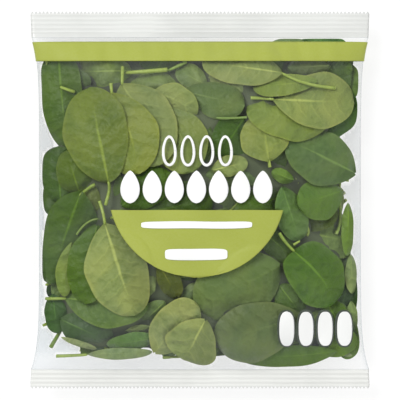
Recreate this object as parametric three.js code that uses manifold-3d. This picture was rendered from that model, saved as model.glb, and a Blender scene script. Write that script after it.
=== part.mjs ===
// A clear pillow bag of baby spinach leaves, lying on its back with the printed front up.
// The bag is one tube of film, flat 240 mm wide, crimped shut across both ends, with a fin
// seam down the back. The leaves press it out into a cushion, and its print is a lime band,
// a lime label and rows of plain white figures.
// Millimetres. X runs across the bag, Y from the lower seal to the upper one, Z up off the
// floor. The origin is on the floor, under the middle of the bag.
import * as THREE from "three";
import { mergeVertices } from "three/addons/utils/BufferGeometryUtils.js";
import Module from "manifold-3d";

// Driving sizes of the bag
const FILM_WIDTH = 240;
const BAG_LENGTH = 267;
const BAG_HEIGHT = 60;
const UPPER_SEAL = 19;
const LOWER_SEAL = 14.3;
const SIDE_NARROWING = 6.4;

// The seals: crimped strips that droop a little from the side folds' height
const FOLD_HEIGHT = 22;
const SEAL_HALF_THICKNESS = 0.55;
const SEAL_DROOP = 0.22;
const TOOTH_COUNT = 80;
const TOOTH_DEPTH = 1;
const RIB_PITCH = 3.2;
const RIB_RISE = 0.5;
const FIRST_RIB = 2.1;

// The cushion between the seals
const CROWN = BAG_HEIGHT - FOLD_HEIGHT;
const BELLY = 27;
const END_ROUNDNESS = { power: 3.4, root: 0.6 };
const CROWN_ROUNDNESS = { power: 2.6, root: 0.7 };
const BELLY_ROUNDNESS = { power: 3.2, root: 0.76 };
const FLARE_POWER = 7;
const FRONT_COLUMNS = 44;
const BACK_COLUMNS = 16;
const BODY_ROWS = 38;

// Relief on the film
const SWELL = 2.2;
const SWELL_WAVE = { across: 61, along: 73, slant: 47 };
const PUCKER = 1.1;
const PUCKER_PITCH = 15;
const PUCKER_REACH = 17;
const LEAF_RISE = 2.6;
const LEAF_TAPER = 0.22;
const FIN_WIDTH = 12;
const FIN_RISE = 0.9;

// The print, held just clear of the film
const INK_GAP = 0.35;
const INK_THICKNESS = 0.4;
const BAND = { low: 98, high: 111.5, steps: 2 };
const LABEL = { x: -2.1, top: -7.1, depth: 47.6, chord: 121.6 };
const FIGURE = { x: -2.5, y: 9.2, width: 13.6, height: 23, pitch: 15.6, count: 7 };
const OUTLINE_FIGURE = { x: -1.9, y: 34.7, width: 10.5, height: 22, stroke: 1.7, pitch: 13.2, count: 4 };
const LABEL_BARS = [
  { name: "print_label_bar_long", x: -2.4, y: -17.6, width: 78, height: 5 },
  { name: "print_label_bar_short", x: -2.7, y: -38.4, width: 44, height: 8 },
];
const CORNER_OVAL = { x: 81.5, y: -90.8, width: 10.4, height: 24, pitch: 13.6, count: 4 };

// The large leaves that lie against the front of the film: middle, length, width, and the
// turn of the leaf's axis from the bag's X, in degrees
const PRESSED_LEAVES = [
  { x: -72, y: 46, length: 66, width: 47, turn: 100 },
  { x: -50, y: 46, length: 58, width: 42, turn: 118 },
  { x: -55, y: -52, length: 64, width: 48, turn: 107 },
  { x: -96, y: -27, length: 68, width: 32, turn: 72 },
  { x: -67, y: -75, length: 60, width: 36, turn: 172 },
  { x: -26, y: 66, length: 40, width: 32, turn: 140 },
  { x: 29, y: 92, length: 58, width: 32, turn: 8 },
  { x: 81, y: 71, length: 57, width: 40, turn: 0 },
  { x: 59, y: 60, length: 58, width: 34, turn: 155 },
  { x: 85, y: 33, length: 44, width: 36, turn: 35 },
  { x: 84, y: 0, length: 38, width: 32, turn: 50 },
  { x: 83, y: -50, length: 50, width: 45, turn: 140 },
  { x: 31, y: -60, length: 66, width: 44, turn: 38 },
  { x: -12, y: -93, length: 44, width: 40, turn: 60 },
  { x: 39, y: -93, length: 58, width: 37, turn: 5 },
];

const UPPER_ROOT = BAG_LENGTH / 2 - UPPER_SEAL;
const LOWER_ROOT = LOWER_SEAL - BAG_LENGTH / 2;
const BODY_MIDDLE = (UPPER_ROOT + LOWER_ROOT) / 2;
const BODY_HALF = (UPPER_ROOT - LOWER_ROOT) / 2;
const DEGREE = Math.PI / 180;

// A rounded profile: 1 in the middle and 0 at t = -1 and t = 1
const rounded = (t, { power, root }) => (1 - Math.min(1, Math.abs(t)) ** power) ** root;

const alongBody = (y) => (y - BODY_MIDDLE) / BODY_HALF;
const bulge = (y) => rounded(alongBody(y), END_ROUNDNESS);

// Half the bag's width at y: the filled middle draws the side folds in
const halfWidth = (y) =>
  FILM_WIDTH / 2 - SIDE_NARROWING * (1 - Math.min(1, Math.abs(alongBody(y))) ** FLARE_POWER);

// Broad swells where clumps of leaves push the film out or fall short of it
function swell(x, y) {
  const { across, along, slant } = SWELL_WAVE;
  const turn = 2 * Math.PI;
  return SWELL * 0.5 *
    (Math.sin((turn * x) / across + 1) * Math.cos((turn * y) / along) + Math.sin((turn * (x + y)) / slant));
}

// Pleats that run out of the crimped seals and die away over the body
function pucker(x, y) {
  const fromSeal = Math.min(UPPER_ROOT - y, y - LOWER_ROOT);
  const fade = Math.exp(-Math.max(0, fromSeal) / PUCKER_REACH);
  return PUCKER * fade * Math.cos((2 * Math.PI * (x + 0.12 * y)) / PUCKER_PITCH);
}

// The domes of the pressed leaves: each an ovate cap, wider towards its stalk end
function leafRelief(x, y) {
  let rise = 0;
  for (const leaf of PRESSED_LEAVES) {
    const c = Math.cos(leaf.turn * DEGREE);
    const s = Math.sin(leaf.turn * DEGREE);
    const along = ((x - leaf.x) * c + (y - leaf.y) * s) / (leaf.length / 2);
    const narrowing = 1 + LEAF_TAPER * along;
    const across = ((y - leaf.y) * c - (x - leaf.x) * s) / ((leaf.width / 2) * narrowing);
    const reach = along * along + across * across;
    if (reach < 1) rise = Math.max(rise, LEAF_RISE * Math.sqrt(1 - reach));
  }
  return rise;
}

// Height of the front film over (x, y)
function frontHeight(x, y) {
  const across = x / halfWidth(y);
  const cushion = bulge(y) * rounded(across, CROWN_ROUNDNESS);
  const relief = swell(x, y) + pucker(x, y) + leafRelief(x, y) - LEAF_RISE;
  return FOLD_HEIGHT + SEAL_HALF_THICKNESS + CROWN * cushion + relief * Math.min(1, 2.2 * cushion);
}

// Height of the back film: rounded like the front, pressed flat where it meets the floor,
// with the fin seam lying along its middle
function backHeight(x, y) {
  const across = x / halfWidth(y);
  const cushion = bulge(y) * rounded(across, BELLY_ROUNDNESS);
  const fin = Math.abs(x) < FIN_WIDTH / 2 ? FIN_RISE : 0;
  const relief = pucker(x, y) * Math.min(1, 2.2 * cushion);
  return Math.max(0, FOLD_HEIGHT - SEAL_HALF_THICKNESS - BELLY * cushion - fin + relief);
}

// Places across the bag from -1 to 1, closer together near the side folds
const columns = (count) =>
  Array.from({ length: count + 1 }, (_, i) => {
    const even = -1 + (2 * i) / count;
    return 0.4 * even + 0.6 * Math.sin((Math.PI / 2) * even);
  });
const frontColumns = columns(FRONT_COLUMNS);

// The back's places, with a pair at each edge of the fin seam
const FIN_EDGE = FIN_WIDTH / FILM_WIDTH;
const backColumns = [
  ...columns(BACK_COLUMNS).filter((c) => Math.abs(c) > 1.8 * FIN_EDGE),
  -1.15 * FIN_EDGE, -FIN_EDGE, FIN_EDGE, 1.15 * FIN_EDGE,
].sort((a, b) => a - b);

// Rows along the body, closer together near the seals, with the band's own rows among them
const bandRows = Array.from({ length: BAND.steps + 1 }, (_, i) =>
  BAND.low + ((BAND.high - BAND.low) * i) / BAND.steps);
const bodyRows = [
  ...Array.from({ length: BODY_ROWS + 1 }, (_, i) => {
    const even = -1 + (2 * i) / BODY_ROWS;
    return BODY_MIDDLE + BODY_HALF * (0.5 * even + 0.5 * Math.sin((Math.PI / 2) * even));
  }).filter((y) => y < BAND.low - 2 || y > BAND.high + 1),
  ...bandRows,
].sort((a, b) => a - b);

// Distances from the cut edge of a seal, at its ridges and the hollows between them
function ribRows(depth) {
  const rows = [];
  for (let d = FIRST_RIB; d < depth - RIB_PITCH / 4; d += RIB_PITCH) {
    rows.push({ distance: d, rise: RIB_RISE });
    if (d + RIB_PITCH / 2 < depth - 0.5) rows.push({ distance: d + RIB_PITCH / 2, rise: 0 });
  }
  return rows;
}

// One line of points across the bag. Both sheets share the points at the side folds.
function bagRow(points, y, front, back, frontPlaces, backPlaces, foldHeight) {
  const half = halfWidth(y);
  const add = (x, z) => points.push([x, y, z]) - 1;
  const left = add(-half, foldHeight);
  const right = add(half, foldHeight);
  const inner = (places, height) => places.slice(1, -1).map((c) => add(c * half, height(c * half, y)));
  return {
    y,
    front: [left, ...inner(frontPlaces, front), right],
    back: [left, ...inner(backPlaces, back), right],
  };
}

// A line of points across a seal, at a distance from its cut edge
function sealRow(points, end, distance, rise, frontPlaces, backPlaces) {
  const y = end.cut - end.direction * distance;
  const middle = FOLD_HEIGHT - SEAL_DROOP * Math.abs(y - end.root);
  const thick = SEAL_HALF_THICKNESS + rise;
  return bagRow(points, y, () => middle + thick, () => middle - thick, frontPlaces, backPlaces, middle);
}

// Joins two lines of points with a strip of triangles that faces up where line b lies
// further along Y than line a
function zip(a, b, points) {
  const faces = [];
  let i = 0;
  let j = 0;
  const middleX = (p, q) => points[p][0] + points[q][0];
  while (i < a.length - 1 || j < b.length - 1) {
    const stepA = j === b.length - 1 ||
      (i < a.length - 1 && middleX(a[i], a[i + 1]) <= middleX(b[j], b[j + 1]));
    if (stepA) {
      faces.push([a[i], a[i + 1], b[j]]);
      i += 1;
    } else {
      faces.push([a[i], b[j + 1], b[j]]);
      j += 1;
    }
  }
  return faces;
}

const turned = (faces) => faces.map(([p, q, r]) => [p, r, q]);

// Both sheets between two lines across the bag
const strip = (a, b, points) => [
  ...zip(a.front, b.front, points),
  ...turned(zip(a.back, b.back, points)),
];

// The row of teeth on a cut edge, on from the last line across the seal
function teeth(points, row, end) {
  const faces = [];
  const tip = (index, line) => {
    const [x, , z] = points[line[index]];
    return points.push([x + FILM_WIDTH / TOOTH_COUNT / 2, end.cut, z]) - 1;
  };
  for (let i = 0; i < TOOTH_COUNT; i += 1) {
    const [a, b] = [row.front[i], row.front[i + 1]];
    const [c, d] = [row.back[i], row.back[i + 1]];
    const inner = i === 0 ? 1 : i;
    const upper = tip(inner, row.front);
    const lower = tip(inner, row.back);
    if (i === 0) for (const t of [upper, lower]) points[t][0] -= FILM_WIDTH / TOOTH_COUNT;
    faces.push([a, b, upper], [c, lower, d]);
    faces.push([a, upper, lower], [b, lower, upper]);
    if (a !== c) faces.push([a, lower, c]);
    if (b !== d) faces.push([b, d, lower]);
  }
  return end.direction > 0 ? faces : turned(faces);
}

function geometryOf(points, faces) {
  const geometry = new THREE.BufferGeometry();
  geometry.setAttribute("position", new THREE.Float32BufferAttribute(points.flat(), 3));
  geometry.setIndex(faces.flat());
  return geometry;
}

// The whole film bag in one closed skin: the filled body, then the seals and their teeth
function bagGeometry() {
  const points = [];
  const rows = bodyRows.map((y) =>
    bagRow(points, y, frontHeight, backHeight, frontColumns, backColumns, FOLD_HEIGHT));
  const evenPlaces = Array.from({ length: TOOTH_COUNT + 1 }, (_, i) => -1 + (2 * i) / TOOTH_COUNT);
  const faces = [];
  const ends = [
    { direction: 1, cut: BAG_LENGTH / 2, root: UPPER_ROOT, depth: UPPER_SEAL, last: rows[rows.length - 1] },
    { direction: -1, cut: -BAG_LENGTH / 2, root: LOWER_ROOT, depth: LOWER_SEAL, last: rows[0] },
  ];
  for (let i = 0; i < rows.length - 1; i += 1) faces.push(...strip(rows[i], rows[i + 1], points));
  for (const end of ends) {
    let last = end.last;
    const join = (next) => {
      faces.push(...(end.direction > 0 ? strip(last, next, points) : strip(next, last, points)));
      last = next;
    };
    for (const { distance, rise } of ribRows(end.depth).reverse()) {
      join(sealRow(points, end, distance, rise, frontColumns, backColumns));
    }
    join(sealRow(points, end, TOOTH_DEPTH, 0, evenPlaces, evenPlaces));
    faces.push(...teeth(points, last, end));
  }
  return geometryOf(points, faces);
}

const wasm = await Module();
wasm.setup();

function solidOf(geometry) {
  const bare = geometry.clone();
  for (const name of Object.keys(bare.attributes)) if (name !== "position") bare.deleteAttribute(name);
  const merged = mergeVertices(bare, 1e-4);
  return new wasm.Manifold(new wasm.Mesh({
    numProp: 3,
    vertProperties: merged.attributes.position.array,
    triVerts: new Uint32Array(merged.index.array),
  }));
}

function geometryOfSolid(solid) {
  const mesh = solid.getMesh();
  const geometry = new THREE.BufferGeometry();
  const points = new Float32Array(mesh.numVert * 3);
  for (let i = 0; i < mesh.numVert; i += 1) {
    points.set(mesh.vertProperties.subarray(i * mesh.numProp, i * mesh.numProp + 3), i * 3);
  }
  geometry.setAttribute("position", new THREE.BufferAttribute(points, 3));
  geometry.setIndex(new THREE.BufferAttribute(mesh.triVerts, 1));
  geometry.computeVertexNormals();
  return geometry;
}

// The bag with its skin moved out by the lift, for the print that lies on the film
function liftedBag(lift) {
  const geometry = bagGeometry();
  geometry.computeVertexNormals();
  const { position, normal } = geometry.attributes;
  for (let i = 0; i < position.count; i += 1) {
    const p = new THREE.Vector3().fromBufferAttribute(position, i);
    const n = new THREE.Vector3().fromBufferAttribute(normal, i);
    // The side folds are sharp edges, which move straight out
    if (Math.abs(Math.abs(p.x) - halfWidth(p.y)) < 1e-3) n.set(Math.sign(p.x), 0, 0);
    p.addScaledVector(n, lift);
    position.setXYZ(i, p.x, p.y, p.z);
  }
  return solidOf(geometry);
}

// A layer of ink that follows the whole film: the first one, and one on top of it
const inkLayer = (number) => {
  const low = INK_GAP + number * (INK_GAP + INK_THICKNESS);
  return liftedBag(low + INK_THICKNESS).subtract(liftedBag(low));
};
const firstInk = inkLayer(0);
const secondInk = inkLayer(1);

// The part of an ink layer under an outline drawn on the bag's front, upright if asked
function printed(layer, shape, x, y, upright = false) {
  const prism = new THREE.ExtrudeGeometry(shape, { depth: BAG_HEIGHT, bevelEnabled: false, curveSegments: 6 });
  if (upright) prism.rotateZ(Math.PI / 2);
  prism.translate(x, y, FOLD_HEIGHT + 2);
  return geometryOfSolid(layer.intersect(solidOf(prism)));
}

// The lime band right round the bag, just under the upper seal
function band() {
  const box = new THREE.BoxGeometry(2 * FILM_WIDTH, BAND.high - BAND.low, 4 * BAG_HEIGHT);
  box.translate(0, (BAND.low + BAND.high) / 2, 0);
  return geometryOfSolid(firstInk.intersect(solidOf(box)));
}

// The lime label: the part of a disc below a straight upper edge
function labelShape() {
  const { depth, chord } = LABEL;
  const radius = (chord * chord) / (8 * depth) + depth / 2;
  const middle = radius - depth;
  const start = Math.PI + Math.asin(middle / radius);
  const shape = new THREE.Shape();
  shape.absarc(0, middle, radius, start, 3 * Math.PI - start, false);
  return shape;
}

// A plain leaf figure standing on its point, narrower above than below
function leafShape(width, height) {
  const half = width / 2;
  const shape = new THREE.Shape();
  shape.moveTo(0, -height / 2);
  shape.bezierCurveTo(half * 1.1, -height * 0.38, half * 1.5, height * 0.1, 0, height / 2);
  shape.bezierCurveTo(-half * 1.5, height * 0.1, -half * 1.1, -height * 0.38, 0, -height / 2);
  return shape;
}

// The same figure drawn as an outline
function leafOutline(width, height, stroke) {
  const shape = leafShape(width, height);
  shape.holes.push(leafShape(width - 2 * stroke, height - 4 * stroke));
  return shape;
}

// A bar with half-round ends
function barShape(width, height) {
  const reach = (width - height) / 2;
  const shape = new THREE.Shape();
  shape.absarc(reach, 0, height / 2, -Math.PI / 2, Math.PI / 2, false);
  shape.absarc(-reach, 0, height / 2, Math.PI / 2, 1.5 * Math.PI, false);
  return shape;
}

const film = new THREE.MeshStandardMaterial({ color: 0x6d8748, roughness: 0.28, metalness: 0 });
const limeInk = new THREE.MeshStandardMaterial({ color: 0xafbc55, roughness: 0.4, metalness: 0 });
const whiteInk = new THREE.MeshStandardMaterial({ color: 0xfbfbf8, roughness: 0.4, metalness: 0 });

const bag = new THREE.Group();
const piece = (name, geometry, material) => {
  const mesh = new THREE.Mesh(geometry, material);
  mesh.name = name;
  bag.add(mesh);
};

piece("film_bag", bagGeometry(), film);
piece("print_band", band(), limeInk);
piece("print_label", printed(firstInk, labelShape(), LABEL.x, LABEL.top), limeInk);
for (let i = 0; i < OUTLINE_FIGURE.count; i += 1) {
  const { width, height, stroke, pitch, x, y, count } = OUTLINE_FIGURE;
  const place = x + (i - (count - 1) / 2) * pitch;
  const ink = printed(firstInk, leafOutline(width, height, stroke), place, y);
  piece(`print_outline_leaf_${i + 1}`, ink, whiteInk);
}
for (let i = 0; i < FIGURE.count; i += 1) {
  const { width, height, pitch, x, y, count } = FIGURE;
  const place = x + (i - (count - 1) / 2) * pitch;
  piece(`print_leaf_${i + 1}`, printed(firstInk, leafShape(width, height), place, y), whiteInk);
}
for (const { name, x, y, width, height } of LABEL_BARS) {
  piece(name, printed(secondInk, barShape(width, height), x, y), whiteInk);
}
for (let i = 0; i < CORNER_OVAL.count; i += 1) {
  const { width, height, pitch, x, y, count } = CORNER_OVAL;
  const place = x + (i - (count - 1) / 2) * pitch;
  piece(`print_corner_oval_${i + 1}`, printed(firstInk, barShape(height, width), place, y, true), whiteInk);
}

export default bag;
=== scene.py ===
import math

import bpy
import numpy as np
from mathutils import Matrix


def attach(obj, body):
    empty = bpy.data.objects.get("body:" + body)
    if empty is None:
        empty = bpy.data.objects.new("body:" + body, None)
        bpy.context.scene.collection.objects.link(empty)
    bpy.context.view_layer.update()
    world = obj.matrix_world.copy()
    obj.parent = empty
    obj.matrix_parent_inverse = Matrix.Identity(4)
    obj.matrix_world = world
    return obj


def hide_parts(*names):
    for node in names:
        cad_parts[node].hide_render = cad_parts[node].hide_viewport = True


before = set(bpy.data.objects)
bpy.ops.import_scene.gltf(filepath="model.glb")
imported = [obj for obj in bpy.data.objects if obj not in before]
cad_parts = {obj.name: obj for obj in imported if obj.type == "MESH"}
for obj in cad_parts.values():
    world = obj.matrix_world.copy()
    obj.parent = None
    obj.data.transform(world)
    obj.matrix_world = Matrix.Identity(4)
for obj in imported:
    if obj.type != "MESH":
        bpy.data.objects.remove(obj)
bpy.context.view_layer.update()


# The view: the bag lies on its back on a pale table, and a long lens looks straight down on
# its printed front, with the seal beside the lime band at the top of the picture. Large soft
# lamps light it evenly, the brighter one from the upper left.

PHOTO_WIDTH = 400           # pixels
MM_PER_PIXEL = 0.7059       # at the height of the bag's side folds
FOLD_HEIGHT = 22.0          # mm
LENS_MM, SENSOR_MM = 200, 36
VIEW_DISTANCE = PHOTO_WIDTH * MM_PER_PIXEL * LENS_MM / SENSOR_MM    # mm

eye = bpy.data.cameras.new("long_lens")
eye.lens = LENS_MM
eye.sensor_width = SENSOR_MM
eye.clip_start, eye.clip_end = 0.05, 20
camera = bpy.data.objects.new("camera_above", eye)
camera.location = (0, 0, (FOLD_HEIGHT + VIEW_DISTANCE) / 1000)
bpy.context.collection.objects.link(camera)
bpy.context.scene.camera = camera

sky = bpy.data.worlds.new("studio_white")
sky.use_nodes = True
sky.node_tree.nodes["Background"].inputs["Color"].default_value = (1.0, 1.0, 1.0, 1)
sky.node_tree.nodes["Background"].inputs["Strength"].default_value = 0.52
bpy.context.scene.world = sky
bpy.context.scene.view_settings.view_transform = "Standard"


def lamp(name, place, width, watts):
    """A square area lamp that points at the bag's middle from a place given in metres."""
    light = bpy.data.lights.new(name, "AREA")
    light.size = width
    light.energy = watts
    made = bpy.data.objects.new(name, light)
    made.location = place
    x, y, z = place
    made.rotation_euler = (math.atan2(math.hypot(x, y), z), 0, math.atan2(x, -y))
    bpy.context.collection.objects.link(made)


lamp("lamp_upper_left", (-1.5, 1.5, 2.6), 1.6, 66)
lamp("lamp_right", (2.4, -0.8, 2.4), 2.4, 28)


# The film: one tube of clear polypropylene, flat 240 mm wide, crimped shut across both ends
# with hot ribbed jaws and cut with a toothed knife, with a fin seam down its back. It is
# clear and glossy with a faint milky haze, and whiter where the two layers are welded.

FILM_WIDTH = 240.0
BAG_LENGTH = 267.0
UPPER_SEAL, LOWER_SEAL = 19.0, 14.3
UPPER_ROOT, LOWER_ROOT = BAG_LENGTH / 2 - UPPER_SEAL, LOWER_SEAL - BAG_LENGTH / 2
BODY_MIDDLE, BODY_HALF = (UPPER_ROOT + LOWER_ROOT) / 2, (UPPER_ROOT - LOWER_ROOT) / 2
SIDE_NARROWING, SEAL_TAPER, FLARE_POWER = 6.44, 0.06, 7
CROWN, BELLY = 38.0, 27.0
END_ROUNDNESS, CROWN_ROUNDNESS, BELLY_ROUNDNESS = (3.4, 0.6), (2.6, 0.7), (3.2, 0.76)
EDGE_FADE = 2.2             # relief is full where the cushion is above 1 / 2.2
SWELL_RISE, SWELL_WAVES = 1.1, (61, 73, 47)
PLEAT_RISE, PLEAT_REACH, PLEAT_PITCH, PLEAT_SLANT = 1.1, 17, 15, 0.12
SEAL_HALF_THICKNESS = 0.55
SEAL_DROOP = 0.22
RIB_PITCH, RIB_RISE, FIRST_RIB = 3.2, 0.35, 2.1
PLAIN_STRIP = 2.8           # mm of the upper seal, beside its root, that have no ribs
TOOTH_DEPTH = 1.8
FIN_WIDTH, FIN_RISE = 12.0, 0.9
LEAF_RISE, LEAF_TAPER = 2.6, 0.22

# The large leaves that press domes into the front film: middle x and y, length, width and
# the turn of the leaf's axis
PRESSED_LEAVES = (
    (-72, 46, 66, 47, 100), (-50, 46, 58, 42, 118), (-55, -52, 64, 48, 107), (-96, -27, 68, 32, 72),
    (-67, -75, 60, 36, 172), (-26, 66, 40, 32, 140), (29, 92, 58, 32, 8), (81, 71, 57, 40, 0),
    (59, 60, 58, 34, 155), (85, 33, 44, 36, 35), (84, 0, 38, 32, 50), (83, -50, 50, 45, 140),
    (31, -60, 66, 44, 38), (-12, -93, 44, 40, 60), (39, -93, 58, 37, 5),
)


def rounded(t, power, root):
    """A rounded profile: (1 - |t| to a power) to a root, 1 in the middle and 0 at t = 1."""
    return (1 - np.minimum(1, np.abs(t)) ** power) ** root


def half_width(y):
    """Half the bag's width: 120 mm at the cut edges, drawn in along each seal in proportion to
    the distance from the cut, and where the bag is filled by 6.44 mm in all."""
    seal = np.where(y > BODY_MIDDLE, UPPER_SEAL, LOWER_SEAL)
    from_cut = np.clip(BAG_LENGTH / 2 - np.abs(y), 0, seal)
    filled = 1 - np.minimum(1, np.abs((y - BODY_MIDDLE) / BODY_HALF)) ** FLARE_POWER
    return FILM_WIDTH / 2 - SEAL_TAPER * from_cut - (SIDE_NARROWING - SEAL_TAPER * seal) * filled


def bulge(y):
    """How full the bag is along its length, from 0 at the seals to 1."""
    return rounded((y - BODY_MIDDLE) / BODY_HALF, *END_ROUNDNESS)


def pleats(x, y):
    """Pleats across the bag: a cosine that fades with the distance from the nearer seal."""
    from_seal = np.maximum(0, np.minimum(UPPER_ROOT - y, y - LOWER_ROOT))
    wave = np.cos(2 * math.pi * (x + PLEAT_SLANT * y) / PLEAT_PITCH)
    return PLEAT_RISE * np.exp(-from_seal / PLEAT_REACH) * wave


def leaf_domes(x, y):
    """Domes over the pressed leaves: LEAF_RISE times the root of 1 - r squared, where r is
    the distance in half lengths and half widths, the width growing towards the stalk."""
    rise = np.zeros(np.broadcast(x, y).shape)
    for middle_x, middle_y, length, width, turn in PRESSED_LEAVES:
        c, s = math.cos(math.radians(turn)), math.sin(math.radians(turn))
        along = ((x - middle_x) * c + (y - middle_y) * s) / (length / 2)
        across = ((y - middle_y) * c - (x - middle_x) * s) / (width / 2 * (1 + LEAF_TAPER * along))
        rise = np.maximum(rise, LEAF_RISE * np.sqrt(np.clip(1 - along ** 2 - across ** 2, 0, 1)))
    return rise


def front_height(x, y):
    """The front film's height: the side folds' height plus a crown rounded both ways, with
    broad swells, pleats and leaf domes that fade out towards the edges."""
    cushion = bulge(y) * rounded(x / half_width(y), *CROWN_ROUNDNESS)
    across, along, slant = (2 * math.pi / length for length in SWELL_WAVES)
    swell = SWELL_RISE * (np.sin(across * x + 1) * np.cos(along * y) + np.sin(slant * (x + y)))
    relief = (swell + pleats(x, y) + leaf_domes(x, y) - LEAF_RISE) * np.minimum(1, EDGE_FADE * cushion)
    return FOLD_HEIGHT + SEAL_HALF_THICKNESS + CROWN * cushion + relief


def back_height(x, y):
    """The back film's height: rounded like the front, flat on the floor in the middle, with
    the fin seam along it."""
    cushion = bulge(y) * rounded(x / half_width(y), *BELLY_ROUNDNESS)
    fin = FIN_RISE * np.clip(FIN_WIDTH / 2 + 1 - np.abs(x), 0, 1)
    relief = pleats(x, y) * np.minimum(1, EDGE_FADE * cushion)
    return np.maximum(0, FOLD_HEIGHT - SEAL_HALF_THICKNESS - BELLY * cushion - fin + relief)


def smooth_step(low, high, value):
    """0 at low and before it, 1 at high and past it, with an S curve between."""
    t = np.clip((value - low) / (high - low), 0, 1)
    return t * t * (3 - 2 * t)


def add_piece(name, points, faces, finish, slot, stands_for, uv=None, rim=None, **attributes):
    """Puts arrays of points in mm and of faces into a smooth mesh that rides on the bag. Edges
    between two points of the rim stay sharp. Attributes hold one number, one place or one
    colour for each point."""
    mesh = bpy.data.meshes.new(name)
    mesh.from_pydata(points / 1000, [], faces)
    mesh.polygons.foreach_set("use_smooth", np.full(len(mesh.polygons), True))
    if rim is not None:
        ends = np.empty(2 * len(mesh.edges), dtype=np.int32)
        mesh.edges.foreach_get("vertices", ends)
        mesh.edges.foreach_set("use_edge_sharp", rim[ends].reshape(-1, 2).all(axis=1))
    kinds = {1: ("FLOAT", "value"), 3: ("FLOAT_VECTOR", "vector"), 4: ("FLOAT_COLOR", "color")}
    for label, values in attributes.items():
        kind, key = kinds[1 if values.ndim == 1 else values.shape[1]]
        layer = mesh.attributes.new(label, kind, "POINT")
        layer.data.foreach_set(key, values.astype(np.float32).ravel())
    if uv is not None:
        corners = np.empty(len(mesh.loops), dtype=np.int32)
        mesh.loops.foreach_get("vertex_index", corners)
        layer = mesh.uv_layers.new(name="surface")
        layer.uv.foreach_set("vector", uv[corners].astype(np.float32).ravel())
    mesh.materials.append(finish)
    mesh.update()
    made = bpy.data.objects.new(name, mesh)
    bpy.context.collection.objects.link(made)
    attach(made, "root")
    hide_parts(*stands_for)
    return made


class Wire:
    """An output socket of a material's nodes. Arithmetic on it adds Math nodes, and node()
    adds any other node. The methods under it are short names for nodes that are used often."""

    def __init__(self, tree, socket=None):
        self.tree = tree
        self.socket = socket

    def node(self, kind, settings=None, inputs=None, output=0):
        made = self.tree.nodes.new(kind)
        for label, value in (settings or {}).items():
            setattr(made, label, value)
        for label, value in (inputs or {}).items():
            if isinstance(value, Wire):
                self.tree.links.new(value.socket, made.inputs[label])
            else:
                made.inputs[label].default_value = value
        return Wire(self.tree, made.outputs[output]) if len(made.outputs) else made

    def math(self, operation, *values):
        return self.node("ShaderNodeMath", {"operation": operation}, dict(enumerate(values)))

    def __add__(self, other):
        return self.math("ADD", self, other)

    __radd__ = __add__

    def __sub__(self, other):
        return self.math("SUBTRACT", self, other)

    def __rsub__(self, other):
        return self.math("SUBTRACT", other, self)

    def __mul__(self, other):
        return self.math("MULTIPLY", self, other)

    __rmul__ = __mul__

    def __pow__(self, other):
        return self.math("POWER", self, other)

    def step(self, low, high):
        """0 below low and 1 above high, with an S curve between."""
        return self.node("ShaderNodeMapRange", {"interpolation_type": "SMOOTHSTEP"},
                         {"Value": self, "From Min": low, "From Max": high})

    def blend(self, share, first, second, kind="MIX"):
        """A colour mixed from two by a share from 0 to 1."""
        return self.node("ShaderNodeMix", {"data_type": "RGBA", "blend_type": kind},
                         {"Factor": share, 6: first, 7: second}, output=2)

    def part(self, axis):
        """One of the three numbers of a vector."""
        return self.node("ShaderNodeSeparateXYZ", inputs={"Vector": self}, output=axis)

    def noise(self, scale, detail):
        """Cloudy noise from 0 to 1 over the place that this wire gives."""
        return self.node("ShaderNodeTexNoise",
                         inputs={"Vector": self, "Scale": scale, "Detail": detail})

    def bump(self, strength, distance):
        """The surface's direction, tilted by the height that this wire gives."""
        return self.node("ShaderNodeBump",
                         inputs={"Height": self, "Strength": strength, "Distance": distance})

    def attribute(self, label, output):
        """A value of the mesh's points."""
        return self.node("ShaderNodeAttribute", {"attribute_name": label}, output=output)

    def surface(self, inputs):
        """The material's surface, from the inputs of its shader."""
        shader = self.node("ShaderNodeBsdfPrincipled", inputs=inputs)
        self.node("ShaderNodeOutputMaterial", inputs={"Surface": shader})


def new_material(name):
    """An empty node material, and a wire to start its nodes from."""
    made = bpy.data.materials.new(name)
    made.use_nodes = True
    made.node_tree.nodes.clear()
    return made, Wire(made.node_tree)


def linear(red, green, blue):
    """A colour that is seen as 0 to 255 red, green and blue, as linear light."""
    shares = np.array([red, green, blue]) / 255
    return (*np.where(shares < 0.04045, shares / 12.92, ((shares + 0.055) / 1.055) ** 2.4), 1.0)


# Film columns lie 1.33 mm apart, so that every second one ends in a tooth of the cut edge
COLUMNS = 180
UPPER_ROWS, LOWER_ROWS, BODY_ROWS = 40, 31, 101
across = np.linspace(-1, 1, COLUMNS + 1)
upper_rows = np.linspace(UPPER_ROOT, BAG_LENGTH / 2 - TOOTH_DEPTH, UPPER_ROWS)
lower_rows = np.linspace(-BAG_LENGTH / 2 + TOOTH_DEPTH, LOWER_ROOT, LOWER_ROWS)
body_share = np.linspace(-1, 1, BODY_ROWS + 2)[1:-1]
body_rows = BODY_MIDDLE + BODY_HALF * (0.5 * body_share + 0.5 * np.sin(math.pi / 2 * body_share))
tooth = TOOTH_DEPTH * (np.arange(COLUMNS + 1) % 2)

rows = np.concatenate([[lower_rows[0]], lower_rows, body_rows, upper_rows, [upper_rows[-1]]])
film_y = np.repeat(rows[:, None], COLUMNS + 1, axis=1)
film_y[0] -= tooth
film_y[-1] += tooth
film_x = across[None, :] * half_width(film_y)


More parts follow.
